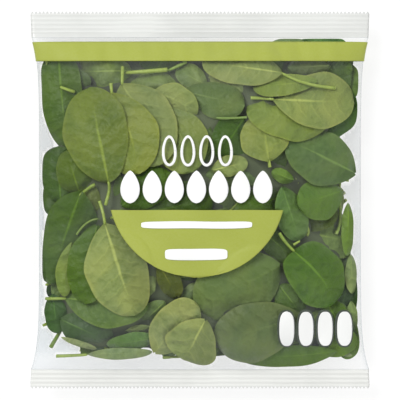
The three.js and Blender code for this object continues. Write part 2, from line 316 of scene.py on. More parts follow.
def seal_heights(x, y):
    """Height of a seal's middle, and its rib wave from 0 to 1. The middle droops with the
    distance from the root and ripples a little. The ribs are a raised cosine that fades at
    the root and the cut."""
    from_root = np.maximum(y - UPPER_ROOT, LOWER_ROOT - y)
    from_cut = BAG_LENGTH / 2 - np.abs(y)
    still_sides = 1 - (x / (FILM_WIDTH / 2)) ** 4
    ripple = 0.5 * np.sin(x / 19 + 1.3) * np.minimum(1, from_root / 8) * still_sides
    rib = 0.5 + 0.5 * np.cos(2 * math.pi * (from_cut - FIRST_RIB) / RIB_PITCH)
    plain = np.where(y > 0, PLAIN_STRIP, 0)
    rib = rib * smooth_step(plain, plain + 1.2, from_root) * smooth_step(0.2, 1.2, from_cut)
    return FOLD_HEIGHT - SEAL_DROOP * from_root + ripple, rib


in_seal = (film_y > UPPER_ROOT) | (film_y < LOWER_ROOT)
seal_middle, seal_rib = seal_heights(film_x, film_y)
seal_half = SEAL_HALF_THICKNESS + RIB_RISE * seal_rib
front_z = np.where(in_seal, seal_middle + seal_half, front_height(film_x, film_y))
back_z = np.where(in_seal, seal_middle - seal_half, back_height(film_x, film_y))
fold_z = np.where(in_seal, seal_middle, FOLD_HEIGHT)
for edge in (0, -1):
    front_z[:, edge] = back_z[:, edge] = fold_z[:, edge]


def ring_faces(row_count, ring_count):
    """Quads between neighbouring closed rings of points."""
    first = np.arange(ring_count)
    after = (first + 1) % ring_count
    quad = np.stack([first, after, after + ring_count, first + ring_count], axis=1)
    return (quad[None] + ring_count * np.arange(row_count - 1)[:, None, None]).reshape(-1, 4)


def end_faces(ring_count, start, upwards):
    """Faces that close a flattened ring: each front point joined to the back one under it."""
    front = np.arange(ring_count // 2 + 1)
    back = (ring_count - front) % ring_count
    quads = np.stack([front[1:-2], front[2:-1], back[2:-1], back[1:-2]], axis=1)
    ends = np.array([[0, 1, back[1]], [front[-2], front[-1], back[-2]]])
    turned = slice(None) if upwards else slice(None, None, -1)
    return [list(start + np.array(face)[turned]) for face in [*quads, *ends]]


RING = 2 * COLUMNS
film_ring = np.concatenate([
    np.stack([film_x, film_y, front_z], axis=2),
    np.stack([film_x, film_y, back_z], axis=2)[:, -2:0:-1],
], axis=1)
film_points = film_ring.reshape(-1, 3)
film_faces = ring_faces(len(rows), RING).tolist()
film_faces += end_faces(RING, 0, False) + end_faces(RING, RING * (len(rows) - 1), True)

# How milky the film looks, from 0 to 1: a little towards the seals, more at the side folds
# and most on the welded ribs. The film is also painted greyer, as painted shade: a dark line
# along the cuts, half as strong at the lower cut, and a wash over the film's whole upper
# half, the upper seal with it, where the lamps light it more.
ring_x, ring_y = film_points[:, 0], film_points[:, 1]
welded = (ring_y > UPPER_ROOT) | (ring_y < LOWER_ROOT)
fold_share = np.abs(ring_x) / half_width(ring_y)
end_share = np.abs(ring_y - BODY_MIDDLE) / BODY_HALF
milk = 0.008 + 0.022 * smooth_step(0.55, 0.85, end_share) + 0.2 * smooth_step(0.97, 1.0, fold_share)
milk = np.where(welded, 0.88 + 0.1 * seal_heights(ring_x, ring_y)[1], milk)
grey = 1 - smooth_step(1.0, 3.0, BAG_LENGTH / 2 - np.abs(ring_y))
grey = np.where(ring_y > 0, np.maximum(grey, 0.45), 0.5 * grey)

film_finish, start = new_material("clear_film")
haze_and_painted_light = start.attribute("milk", "Fac")
place = start.node("ShaderNodeTexCoord", output="Object")
clouds, streaks = place.noise(22.0, 2.0), place.noise(60.0, 3.0)
grazing = start.node("ShaderNodeLayerWeight", inputs={"Blend": 0.5}, output="Facing")
white = start.blend(haze_and_painted_light.step(0.6, 0.8), linear(220, 227, 232), linear(240, 241, 237))
start.surface({
    # The seals' painted shade greys the film's colour here.
    "Base Color": start.blend(start.attribute("grey", "Fac"), white, linear(212, 214, 212)),
    "Roughness": 0.25, "IOR": 1.45, "Normal": (clouds + 0.3 * streaks).bump(0.2, 0.002),
    # The grazing term is a painted reflection: the white film turns more opaque where it is seen side
    # on, towards its edges.
    "Alpha": haze_and_painted_light * (0.75 + 0.5 * clouds) + 0.35 * grazing ** 4,
})
cut_rim = np.zeros(len(film_points), dtype=bool)
cut_rim[:RING] = cut_rim[-RING:] = True
film = add_piece("film_bag_clear", film_points, film_faces, film_finish, "film", ["film_bag"],
                 rim=cut_rim, milk=milk, grey=grey)


# The print: opaque ink on the film. A lime band runs right round under the upper seal, a
# lime half-round label sits in the middle, and plain white leaf figures, ovals and bars take
# the places of the printed words. The corner ovals have a dark outline.

INK_LIFT, INK_THICKNESS = 0.25, 0.25


def grid_quads(index):
    """Quads between the neighbours of a grid of point numbers."""
    corners = [index[:-1, :-1], index[1:, :-1], index[1:, 1:], index[:-1, 1:]]
    return np.stack(corners, axis=-1).reshape(-1, 4)


def plate_faces(count_u, count_v, loop=False):
    """Faces of a thin plate whose outer and then inner points are grids of u by v. With loop
    the grid closes on itself in u."""
    index = np.arange(count_u * count_v).reshape(count_u, count_v)
    steps = index if not loop else np.concatenate([index, index[:1]])
    outer = grid_quads(steps)
    inner = outer[:, ::-1] + index.size
    rims = [(steps[:, 0], False), (steps[:, -1], True)]
    if not loop:
        rims += [(steps[0], True), (steps[-1], False)]
    sides = []
    for rim, turn in rims:
        side = np.stack([rim[:-1], rim[:-1] + index.size, rim[1:] + index.size, rim[1:]], axis=1)
        sides.append(side[:, ::-1] if turn else side)
    return np.concatenate([outer, inner, *sides]).tolist()


def surface_normals(grid, loop=False):
    """Unit normals of a grid of points, from the cross product of its central differences."""
    padded = np.concatenate([grid[-1:], grid, grid[:1]]) if loop else grid
    along = np.gradient(padded, axis=0)
    along = along[1:-1] if loop else along
    normal = np.cross(along, np.gradient(grid, axis=1))
    return normal / np.maximum(np.linalg.norm(normal, axis=2, keepdims=True), 1e-9)


def ink_plate(grid, lift, loop=False):
    """A grid of film points raised by the lift and the ink's thickness along its normals."""
    normal = surface_normals(grid, loop)
    layers = [(grid + normal * (lift + extra)).reshape(-1, 3) for extra in (INK_THICKNESS, 0)]
    return np.concatenate(layers), plate_faces(*grid.shape[:2], loop)


def on_front(x, y):
    """Points of the front film that the camera sees at x and y of the plane of the side
    folds: both shrink by the point's height over that plane as a share of the distance."""
    world_x, world_y = np.array(x, dtype=float), np.array(y, dtype=float)
    for _ in range(3):
        nearness = 1 - (front_height(world_x, world_y) - FOLD_HEIGHT) / VIEW_DISTANCE
        world_x, world_y = x * nearness, y * nearness
    return world_x, world_y


def ink_material(name, colour):
    """Flat ink under gloss film, with the film's slow waves in its shine."""
    made, start = new_material(name)
    place = start.node("ShaderNodeTexCoord", output="Object")
    waves, grain = place.noise(22.0, 2.0), place.noise(900.0, 1.0)
    start.surface({
        "Base Color": start.blend(0.05 * grain, colour, (1, 1, 1, 1)),
        "Roughness": 0.5 + 0.1 * waves, "Specular IOR Level": 0.25, "Normal": waves.bump(0.1, 0.002),
    })
    return made


lime_ink = ink_material("lime_ink", linear(163, 173, 66))
white_ink = ink_material("white_ink", linear(250, 251, 249))
dark_ink = ink_material("dark_ink", linear(52, 66, 46))

# The band is a ring over the front and back film between two places along the bag
BAND_LOW, BAND_HIGH, BAND_STEPS = 98.0, 111.5, 12
band_s = np.concatenate([across, across[-2:0:-1]])[:, None]
on_front_side = (np.arange(RING) < COLUMNS + 1)[:, None]
band_y = np.repeat(np.linspace(BAND_LOW, BAND_HIGH, BAND_STEPS)[None, :], RING, axis=0)
band_y = np.where(on_front_side, on_front(band_s * half_width(band_y), band_y)[1], band_y)
band_x = band_s * half_width(band_y)
band_z = np.where(on_front_side, front_height(band_x, band_y), back_height(band_x, band_y))
band_z[[0, COLUMNS]] = FOLD_HEIGHT
band_grid = np.stack([band_x, band_y, band_z], axis=2)
band_points, band_faces = ink_plate(band_grid, INK_LIFT, loop=True)
add_piece("lime_band", band_points, band_faces, lime_ink, "print_lime", ["print_band"])


def front_print(name, node, x, y, finish, slot, lift=INK_LIFT):
    """A plate of ink on the front over a grid of places seen by the camera."""
    world_x, world_y = on_front(x, y)
    grid = np.stack([world_x, world_y, front_height(world_x, world_y)], axis=2)
    points, faces = ink_plate(grid, lift)
    add_piece(name, points, faces, finish, slot, [node])


# The label is the part of a disc below a straight upper edge
LABEL_X, LABEL_TOP, LABEL_DEPTH, LABEL_CHORD = -2.1, -7.1, 47.6, 121.6
label_radius = LABEL_CHORD ** 2 / (8 * LABEL_DEPTH) + LABEL_DEPTH / 2
label_u, label_v = np.meshgrid(np.linspace(-1, 1, 90), np.linspace(0, 1, 40), indexing="ij")
label_drop = 0.9995 * LABEL_DEPTH * (1 - label_v) ** 1.6
label_half = np.sqrt(label_radius ** 2 - (label_radius - LABEL_DEPTH + label_drop) ** 2)
front_print("lime_label", "print_label", LABEL_X + label_u * label_half, LABEL_TOP - label_drop,
            lime_ink, "print_lime")


def leaf_figure(width, height):
    """A solid leaf figure on its stalk end: the half width is a sine of the height, widest
    below the middle and pointed above."""
    u, v = np.meshgrid(np.linspace(-1, 1, 14), np.linspace(0, 1, 36), indexing="ij")
    half = width / 2 * np.maximum(0.02, np.sin(math.pi * v ** 0.8) ** 0.66)
    return u * half, (v - 0.5) * height


def oval_ring(width, height, stroke, power=2.0):
    """A ring of even stroke inside a superellipse, as outline angle by width of the stroke."""
    angle, v = np.meshgrid(np.linspace(0, -2 * math.pi, 73), np.linspace(0, 1, 4), indexing="ij")
    shape = lambda wave: np.sign(wave) * np.abs(wave) ** (2 / power)
    x = shape(np.cos(angle)) * (width / 2 - stroke * v)
    return x, shape(np.sin(angle)) * (height / 2 - stroke * v)


def oval_disc(width, height, power):
    """A filled superellipse: across from edge to edge, by height."""
    rows = np.sin(np.linspace(-1, 1, 40) * math.pi / 2)
    u, v = np.meshgrid(np.linspace(-1, 1, 16), rows, indexing="ij")
    share = np.maximum(0.02, (1 - np.abs(v * 0.9999) ** power) ** (1 / power))
    return u * width / 2 * share, v * height / 2


# Rows of figures: the row's middle, the pitch and count, and each figure's width and height
OUTLINE_X, OUTLINE_Y, OUTLINE_PITCH, OUTLINES, OUTLINE_SIZE = -1.9, 34.7, 13.2, 4, (10.5, 22.0)
FIGURE_X, FIGURE_Y, FIGURE_PITCH, FIGURES, FIGURE_SIZE = -2.5, 9.2, 15.6, 7, (13.6, 23.0)
OVAL_X, OVAL_Y, OVAL_PITCH, OVALS, OVAL_SIZE = 81.5, -90.8, 13.6, 4, (10.4, 24.0)
OUTLINE_STROKE, OVAL_EDGE, OVAL_EDGE_SIZE, OVAL_POWER = 1.9, 1.7, (13.0, 26.6), 2.6
BARS = {"label_bar_long": (-2.4, -17.6, 78.0, 5.0), "label_bar_short": (-2.7, -38.4, 44.0, 8.0)}
BAR_POWER = 6.0


def row_places(middle, pitch, count):
    """The number and the x of each of a row's figures, centred on its middle."""
    return [(i + 1, middle + (i - (count - 1) / 2) * pitch) for i in range(count)]


def white_print(label, x, y, lift=INK_LIFT):
    """A white figure that is named like the node it stands for."""
    front_print(f"white_{label}", f"print_{label}", x, y, white_ink, "print_white", lift)


for number, middle in row_places(OUTLINE_X, OUTLINE_PITCH, OUTLINES):
    x, y = oval_ring(*OUTLINE_SIZE, OUTLINE_STROKE)
    pointed = 1 - 0.25 * y / OUTLINE_SIZE[1]
    white_print(f"outline_leaf_{number}", middle + x * pointed, OUTLINE_Y + y)
for number, middle in row_places(FIGURE_X, FIGURE_PITCH, FIGURES):
    x, y = leaf_figure(*FIGURE_SIZE)
    white_print(f"leaf_{number}", middle + x, FIGURE_Y + y)
for label, (bar_x, bar_y, width, height) in BARS.items():
    y, x = oval_disc(height, width, BAR_POWER)
    over_label = 2 * INK_LIFT + INK_THICKNESS
    white_print(label, bar_x + x[:, ::-1], bar_y + y[:, ::-1], over_label)
for number, middle in row_places(OVAL_X, OVAL_PITCH, OVALS):
    x, y = oval_disc(*OVAL_SIZE, OVAL_POWER)
    white_print(f"corner_oval_{number}", middle + x, OVAL_Y + y)
    x, y = oval_ring(*OVAL_EDGE_SIZE, OVAL_EDGE, OVAL_POWER)
    front_print(f"dark_oval_outline_{number}", f"print_corner_oval_{number}",
                middle + x, OVAL_Y + y, dark_ink, "print_white")


# The front leaves: baby spinach on its stalks, thin rounded blades with a midrib and curved
# side veins, paler underneath, loose against the film. Each is placed from the
# photograph, the frontmost first, and those after it bend under the ones before.

LEAF_THICKNESS = 0.45
GAP = 0.3                   # mm left under each leaf
CELL = 1.5                  # mm between the heights that are kept
FINE = 3                    # places worked out for each one that is kept in the mesh
VEIN_PITCH = 9.5
HAZE_LIGHT, LEVEL_LIGHT = 0.02, 1.15      # what the film adds, and how brightly leaves are lit
FILM_CLEARANCE, FAR_CLEARANCE = 0.9, 3.5  # mm from the leaves to their own and the other film
NOTCH_Y, NOTCH_REACH, NOTCH_DEPTH = 47, 14, 9               # where the heap's sides sink in
CORNER_START, CORNER_END, LEFT_CUT, RIGHT_CUT = -80, -106, 25, 9

grid_x = np.arange(-FILM_WIDTH / 2 - 1, FILM_WIDTH / 2 + 1.1, CELL)
roof_x, roof_y = np.meshgrid(grid_x, np.arange(LOWER_ROOT, UPPER_ROOT + 1, CELL))


def spread(field, reach, pick):
    """Each cell's lowest, highest or average value, as picked, over a square of the reach
    round it."""
    padded = np.pad(field, reach, mode="edge")
    height, width = field.shape
    views = [padded[i:i + height, j:j + width]
             for i in range(2 * reach + 1) for j in range(2 * reach + 1)]
    return pick(np.array(views), axis=0)


def sample(field, x, y):
    """The field at x and y, by the average of the four nearest cells weighted by nearness."""
    height, width = field.shape
    column = np.clip((x - roof_x[0, 0]) / CELL, 0, width - 1.001)
    row = np.clip((y - roof_y[0, 0]) / CELL, 0, height - 1.001)
    j, i = column.astype(int), row.astype(int)
    s, t = column - j, row - i
    low = field[i, j] * (1 - s) + field[i, j + 1] * s
    high = field[i + 1, j] * (1 - s) + field[i + 1, j + 1] * s
    return low * (1 - t) + high * t


def soft_below(value, limit, softness):
    """The value while it is well under the limit, bent smoothly to stay under it."""
    return limit - softness * np.logaddexp(0, (limit - value) / softness)


def held_inside(x, y, seen):
    """Places kept inside the side folds and the seals' roots, by a little where a leaf is seen
    and by more where it isn't. Unseen leaves also leave a bell-shaped notch in both sides, and
    cut lower corners, where the heap sinks in."""
    notch = NOTCH_DEPTH * np.exp(-((y - NOTCH_Y) / NOTCH_REACH) ** 2)
    corner = np.where(x < 0, LEFT_CUT, RIGHT_CUT) * smooth_step(CORNER_START, CORNER_END, y)
    side, end = (2.0, 0.6) if seen else (7.0 + notch + corner, 8.5)
    from_middle = y - BODY_MIDDLE
    y = BODY_MIDDLE + np.sign(from_middle) * soft_below(np.abs(from_middle), BODY_HALF - end, 0.8)
    return np.sign(x) * soft_below(np.abs(x), half_width(y) - side, 1.5), y


def seen_shade(tone):
    """The colour of a leaf that is seen as this tone through the film and under the lamps."""
    return np.clip((np.array(linear(*tone)[:3]) - HAZE_LIGHT) / LEVEL_LIGHT, 0.004, 1)


class Heap:
    """Leaves and stalks that lie against one film. Heights are measured towards that film.
    The roof holds, for each cell, how high the next leaf may reach, the floor how low, and the
    top the highest leaf so far."""

    def __init__(self, roof, floor, seed):
        self.open_roof = roof.copy()
        self.roof = roof
        self.top = floor.copy()
        self.floor = floor
        self.random = np.random.default_rng(seed)
        self.blades = []
        self.stalks = []

    def soft_roof(self):
        """The roof, taken low and then averaged over the cells around."""
        return spread(spread(self.roof, 2, np.min), 2, np.mean)

    def cover(self, x, y, bottom):
        """Lowers the roof to just under a leaf's bottom, and raises the top to it."""
        height, width = self.roof.shape
        column = np.clip(np.round((x - roof_x[0, 0]) / CELL).astype(int), 0, width - 1).ravel()
        row = np.clip(np.round((y - roof_y[0, 0]) / CELL).astype(int), 0, height - 1).ravel()
        np.minimum.at(self.roof, (row, column), (bottom - GAP).ravel())
        np.maximum.at(self.top, (row, column), bottom.ravel())

    def add_blade(self, base, tip, width, tone, belly=0.45, bend=0.0, cup=0.8, sag=0.3, keel=0.3,
                  wave=0.7, lean=1.6, crinkle=0.34, lobe=1.2, ears=0.0, heel=0.74, split=0.05,
                  under=False, rib=1.0, seen=True, steps=(20, 28)):
        """One blade, over u from side to side and v from base to tip. Its axis runs from base to
        tip in mm and bows sideways by bend. The half width rises as a rounded curve from the
        base to the widest place, the belly, and falls as a rounder one to the tip, a little
        uneven. A smaller heel makes a rounder base. Lobe draws the rim out along the stalk, and
        ears draw it back on both sides of the stalk. The height is a smooth surface fitted to
        the roof over it, lowered by the sag, by a lean to one side, and by a cup, a keel along
        the midrib and edge waves, and quilted between the veins by the crinkle. It is kept
        under the roof and over the floor by rounded limits. The painted side shade makes one
        half lighter and the other darker, as painted shade where the two halves of the folded
        blade face the lamps differently. Under turns the paler side up, and rib is how clearly
        the midrib shows."""
        base, tip = np.array(base, dtype=float), np.array(tip, dtype=float)
        length = np.linalg.norm(tip - base)
        direction = (tip - base) / length
        side = np.array([direction[1], -direction[0]])
        u = np.linspace(-1, 1, steps[0] * FINE + 1)
        u = np.sign(u) * np.abs(u) ** 1.3
        v = np.linspace(0, 1, steps[1] * FINE + 1)
        v = 0.65 * (0.5 - 0.5 * np.cos(math.pi * v)) + 0.35 * v
        u, v = np.meshgrid(u, v, indexing="ij")
        phase = self.random.uniform(0, 2 * math.pi, 8)
        hand = np.where(u > 0, 1.0, -1.0)
        from_belly = np.where(v < belly, (belly - v) / belly, (v - belly) / (1 - belly))
        curve = np.where(v < belly, rounded(from_belly, 1.9, heel), rounded(from_belly, 2.3, 0.5))
        uneven = 0.045 * np.sin(6 * v + phase[0] + hand * phase[1]) + 0.07 * hand * np.sin(phase[2])
        curve = curve * (1 + uneven) * (1 + 0.018 * np.sin(17 * v + hand * phase[3]))
        half = width / 2 * np.maximum(0.05, curve)
        bow = bend * np.sin(math.pi * v)
        down = v * length - lobe * u * u * (1 - v) ** 5
        down = down - ears * u * u * np.sin(math.pi * np.minimum(1, v / 0.4))
        flat_x = base[0] + direction[0] * down + side[0] * (u * half + bow)
        flat_y = base[1] + direction[1] * down + side[1] * (u * half + bow)
        x, y = held_inside(*(on_front(flat_x, flat_y) if seen else (flat_x, flat_y)), seen)
        roof = sample(self.soft_roof(), x, y)
        basis = np.stack([np.ones_like(u), u, v, u * v, u * u, v * v], axis=-1).reshape(-1, 6)
        fit = (basis @ np.linalg.lstsq(basis, roof.ravel(), rcond=None)[0]).reshape(u.shape)
        edge = np.abs(u) ** 2.2
        bell = np.minimum(1, 5 * v * (1 - v))
        shape = -cup * edge - keel * np.abs(u) * bell - cup * 0.6 * (2 * v - 1) ** 4
        shape = shape + wave * edge * np.sin(9 * v + hand * phase[4])
        shape = shape + 0.4 * wave * edge * np.sin(23 * v + phase[5])
        shape = shape - 0.6 * wave * np.sin(4.1 * v + 1.9 * u + phase[6])
        tilt = u * math.cos(phase[7]) + (2 * v - 1) * math.sin(phase[7])
        shape = shape - lean * (0.5 + 0.5 * tilt)
        vein_turns = 2 * math.pi * (v * length - 0.6 * np.abs(u) * half) / VEIN_PITCH
        quilt = -0.5 * np.cos(vein_turns + phase[1]) * 4 * np.abs(u) * (1 - np.abs(u))
        shape = shape + crinkle * quilt * bell
        ridge_height = 0.7 if under else 0.5
        ridge = ridge_height * np.exp(-(u * half / (1.3 - 0.7 * v)) ** 2) * (1 - v) ** 1.3
        height = soft_below(fit - sag + shape, roof - 0.15 - ridge, 0.6) + ridge
        height = -soft_below(-height, -sample(self.floor, x, y), 0.5)
        self.cover(x, y, height - LEAF_THICKNESS)
        keep = (slice(None, None, FINE), slice(None, None, FINE))
        own = np.stack([u * half / 10, v * length / 10, np.full_like(u, phase[0] * 9)], axis=-1)
        # One half is painted lighter and the other darker: painted shade of the two halves of the
        # folded blade.
        shade = seen_shade(tone) * (1 + split * np.tanh(6 * u[..., None]))
        shade = np.concatenate([shade, np.ones_like(u)[..., None]], axis=-1)
        kind = np.array([1.0 if under else 0.0, rib, self.random.uniform(0, 1)])
        points, uv = np.stack([x, y, height], axis=-1), np.stack([u, v], axis=-1)
        self.blades.append({"points": points[keep], "uv": uv[keep], "own": own[keep],
                            "shade": shade[keep], "kind": kind, "steps": steps})
        middle = steps[0] * FINE // 2
        return x[middle, 0], y[middle, 0], height[middle, 0]

    def add_stalk(self, path, tone, radius=1.15, sag=0.3, joins=None, seen=True):
        """One stalk: a tube along a smooth path in mm, just under the roof, which leaves the
        blade's base height where it joins it."""
        path = np.array(path, dtype=float)
        knots = np.concatenate([[0], np.cumsum(np.linalg.norm(np.diff(path, axis=0), axis=1))])
        places = np.linspace(0, knots[-1], 14)
        powers = np.vander(knots / knots[-1], min(len(path), 4))
        smooth = np.vander(places / knots[-1], min(len(path), 4))
        line = smooth @ np.linalg.lstsq(powers, path, rcond=None)[0]
        x, y = line[:, 0], line[:, 1]
        x, y = held_inside(*(on_front(x, y) if seen else (x, y)), seen)
        roof = sample(self.soft_roof(), x, y) - radius - sag
        curve = np.polynomial.Polynomial.fit(places, roof, 3)(places)
        height = soft_below(curve, roof, 0.5)
        if joins is not None:
            height = height + (joins[2] - 0.4 - height[0]) * (1 - smooth_step(0, 9.0, places))
        height = -soft_below(-height, -sample(self.floor, x, y), 0.5)
        for shift in (-0.8, 0, 0.8):
            self.cover(x + shift * radius, y, height - radius)
            self.cover(x, y + shift * radius, height - radius)
        self.stalks.append((np.stack([x, y, height], axis=1), radius, seen_shade(tone)))


def blade_faces(steps):
    """Faces of one blade: a top grid and a bottom one that share their rims."""
    across, along = steps
    top = np.arange((across + 1) * (along + 1)).reshape(across + 1, along + 1)
    bottom = top.copy()
    inner = np.arange((across - 1) * (along - 1)).reshape(across - 1, along - 1)
    bottom[1:-1, 1:-1] = top.size + inner
    return np.concatenate([grid_quads(top), grid_quads(bottom)[:, ::-1]])


def leaf_piece(name, blades, finish, towards=1):
    """One piece of the blades: each a top sheet and one under it, with shared rims."""
    inner = (slice(1, -1), slice(1, -1))

    def twice(field):
        width = field.shape[-1]
        return np.concatenate([field.reshape(-1, width), field[inner].reshape(-1, width)])

    parts = {"points": [], "uv": [], "rim": [], "tone": [], "own": [], "kind": []}
    faces, count = [], 0
    for blade in blades:
        grid = blade["points"]
        below = (grid - [0, 0, LEAF_THICKNESS])[inner].reshape(-1, 3)
        points = np.concatenate([grid.reshape(-1, 3), below]) * [1, 1, towards]
        rim = np.ones(grid.shape[:2] + (1,), dtype=bool)
        rim[inner] = False
        quads = blade_faces(blade["steps"])
        faces.append((quads if towards < 0 else quads[:, ::-1]) + count)
        parts["points"].append(points)
        parts["uv"].append(twice(blade["uv"]))
        parts["rim"].append(twice(rim)[:, 0])
        parts["own"].append(twice(blade["own"]))
        parts["tone"].append(twice(blade["shade"]))
        parts["kind"].append(np.tile(blade["kind"], (len(points), 1)))
        count += len(points)
    joined = {label: np.concatenate(values) for label, values in parts.items()}
    points, faces = joined.pop("points"), np.concatenate(faces).tolist()
    add_piece(name, points, faces, finish, "film", ["film_bag"], **joined)


# Near the edges of the bag, where it is thin, a leaf may lie as low as the middle of it
front_film, back_film = front_height(roof_x, roof_y), back_height(roof_x, roof_y)
thin_floor = (front_film + back_film + LEAF_THICKNESS) / 2
front_floor = np.minimum(back_film + FAR_CLEARANCE, thin_floor)
front_heap = Heap(front_film - FILM_CLEARANCE, front_floor, seed=7)


def spot(pixel):
    """A place in the photograph's 400 by 400 pixels, as x and y in mm from the bag's middle."""
    middle = PHOTO_WIDTH / 2
    return (pixel[0] - middle) * MM_PER_PIXEL, (middle - pixel[1]) * MM_PER_PIXEL


def leaf(base, tip, width, tone, stalk=(), **form):
    """A front leaf whose base, tip and stalk are places in the photograph."""
    joins = front_heap.add_blade(spot(base), spot(tip), width, tone, **form)
    if stalk:
        pale = tuple(0.3 * part + 0.7 * other for part, other in zip(tone, (182, 205, 88)))
        front_heap.add_stalk([spot(base), *map(spot, stalk)], pale, joins=joins)


def stalk(path, tone=(172, 195, 86), **form):
    """A loose stalk along places in the photograph."""
    front_heap.add_stalk([spot(place) for place in path], tone, **form)


# Each leaf's base and tip in pixels, its width in mm and the tone that is seen, and then what
# is special about its form. The frontmost leaves come first
leaf((108, 181), (89, 87), 45, (112, 130, 66), belly=0.5, heel=0.55, lean=0.5,
     wave=1.0, split=-0.05, stalk=[(109, 188), (108, 195), (105.5, 205)])
leaf((105, 225), (134, 316), 44, (139, 153, 93), under=True, keel=0.9, lean=0.8,
     split=0.15, stalk=[(103, 214), (99, 201)])
stalk([(59.6, 86.6), (73.6, 91.5)])
leaf((111.5, 94), (139, 174), 43, (131, 146, 73), bend=-3, lean=1, stalk=[(110.5, 83)])

# Upper right
leaf((281, 72), (202, 61), 26, (142, 157, 96), under=True, lean=0.8,
     stalk=[(292, 78), (306, 82.4), (320, 86), (335.6, 87.6)])
leaf((317, 80), (253, 87), 16, (130, 150, 80), belly=0.55, rib=0.5, lean=0.8)
leaf((275, 99), (355, 102), 39, (142, 157, 92), belly=0.58, under=True, lean=0.8,
     stalk=[(266, 98), (251, 97.4)])
leaf((122, 85), (160, 165), 43, (135, 150, 92), bend=-3, under=True, rib=0.5,
     stalk=[(122, 76), (122.5, 66.6)])
leaf((163, 108), (193, 172), 38, (128, 145, 82), bend=-3, rib=0.4)
leaf((154, 92), (197, 114), 25, (145, 160, 95), under=True, belly=0.4, bend=-2, rib=0.3)
stalk([(216, 117.5), (232, 118), (247, 117)], tone=(140, 168, 92), radius=0.8)
leaf((184, 91), (245, 105), 26, (108, 128, 80), belly=0.55, rib=0.4)
leaf((326, 126), (247, 106), 34, (130, 150, 75), rib=0.3)
leaf((269, 160), (262, 114), 35, (140, 155, 85), rib=0.4, stalk=[(270, 167)])
leaf((356, 173), (287, 138), 37, (100, 125, 75), keel=0.8)
leaf((342, 191), (298, 205), 29, (98, 128, 65), rib=0.4)

# Lower right
leaf((295, 252), (336, 303), 38.5, (88, 119, 55), belly=0.47, bend=-3, cup=1.4,
     wave=1.2, ears=5.5, heel=0.6, stalk=[(289, 246), (284, 240), (279.5, 233)])
stalk([(300.5, 241), (294, 245)], radius=0.9)
leaf((283, 188), (300, 241), 22, (100, 130, 75), rib=0.5)
stalk([(299, 218), (307, 226), (309, 231), (307.5, 236)])
leaf((205, 321), (184, 361), 38, (146, 160, 98), belly=0.66, under=True, keel=1.2, lean=0.6)
leaf((155, 353), (194, 301), 31, (152, 165, 103), under=True, rib=0.2, lean=0.8)
leaf((304, 318), (215, 341), 41, (107, 125, 80), belly=0.62, wave=1.1,
     crinkle=0.5, split=-0.1, rib=0.25)
leaf((280, 266), (196, 310), 47, (107, 128, 76), wave=0.5, rib=0.2)
leaf((336, 352), (240, 359), 15, (98, 128, 58), rib=0.4, bend=-1)
leaf((320, 352), (358, 337), 19, (105, 135, 52), rib=0.4)
leaf((326, 300), (346, 336), 19, (98, 128, 50), rib=0.6)

# Left
leaf((96, 226), (84, 304), 31, (85, 112, 46))
stalk([(99, 219), (88, 222), (81, 228), (76, 235)], tone=(135, 160, 75), radius=0.75)
leaf((71, 244), (64, 297), 13, (125, 145, 75), rib=0.3, bend=1.5)
leaf((66, 299), (148, 306), 37, (100, 125, 64), stalk=[(58, 299), (45.5, 299)])
leaf((79, 196), (47, 284), 35, (80, 105, 50), belly=0.3, keel=0.8, lobe=4,
     stalk=[(87, 189), (94, 184.6)])
leaf((92, 186), (87, 220), 16, (100, 116, 56), rib=0.3)
leaf((79, 194), (66, 150), 25, (92, 114, 50), keel=1.6)
leaf((60, 203), (57, 146), 30, (76, 104, 38))
leaf((58, 48), (68, 151), 31, (84, 110, 50), belly=0.3, bend=1)
leaf((50, 66), (90, 84), 17, (95, 115, 70), rib=0.4)

# Under the band
stalk([(124, 72.3), (146, 71), (167, 69.3)], tone=(175, 195, 90), radius=1.5)
stalk([(167.5, 70), (177, 66), (186, 61.5)], tone=(150, 178, 84))
leaf((132, 70), (72, 71), 22, (115, 135, 75))
leaf((206, 84), (176, 69), 17, (122, 142, 88), rib=0.4)
leaf((186, 86), (128, 79), 15, (118, 138, 84), rib=0.3)

# Bottom left
leaf((88, 355), (152, 353), 8, (140, 160, 110), rib=0.3, stalk=[(72, 356), (56, 356.5)])
leaf((156, 339), (106, 346), 12.5, (105, 138, 74), rib=0.4)
leaf((62, 338), (96, 350), 4.5, (152, 166, 112), under=True, rib=0)
leaf((61, 320), (112, 344), 25, (78, 102, 62))
leaf((52, 296), (57, 334), 16, (66, 98, 36))
stalk([(63, 325), (57, 336), (50.4, 347.6)], tone=(128, 156, 62), radius=1.4)
stalk([(41, 326), (48, 324)])
stalk([(44, 285.5), (57, 282)])
leaf((126, 332), (152, 329), 7, (132, 150, 92), rib=0.3)
leaf((164, 303), (139, 326), 15, (108, 130, 76))
leaf((98, 325), (140, 336), 17, (80, 88, 60), rib=0.2)
leaf((74, 274), (47, 297), 17, (64, 92, 40), rib=0.3)
leaf((62, 172), (50, 216), 22, (74, 100, 44), rib=0.3)

# Round the label and the print
leaf((159, 265), (178, 298), 16, (95, 105, 55))
leaf((199, 284), (180, 300), 9, (120, 140, 90))
leaf((122, 205), (170, 172), 26, (85, 115, 50))
leaf((213, 170), (248, 162), 15, (150, 165, 100), under=True)
leaf((293, 180), (272, 171), 10, (105, 135, 65))
leaf((286, 181), (300, 182), 6, (160, 175, 110), under=True, rib=0.3)
leaf((248, 112), (218, 158), 29, (72, 100, 44))
leaf((262, 230), (298, 262), 20, (76, 98, 50))
leaf((280, 286), (303, 316), 20, (90, 116, 54))

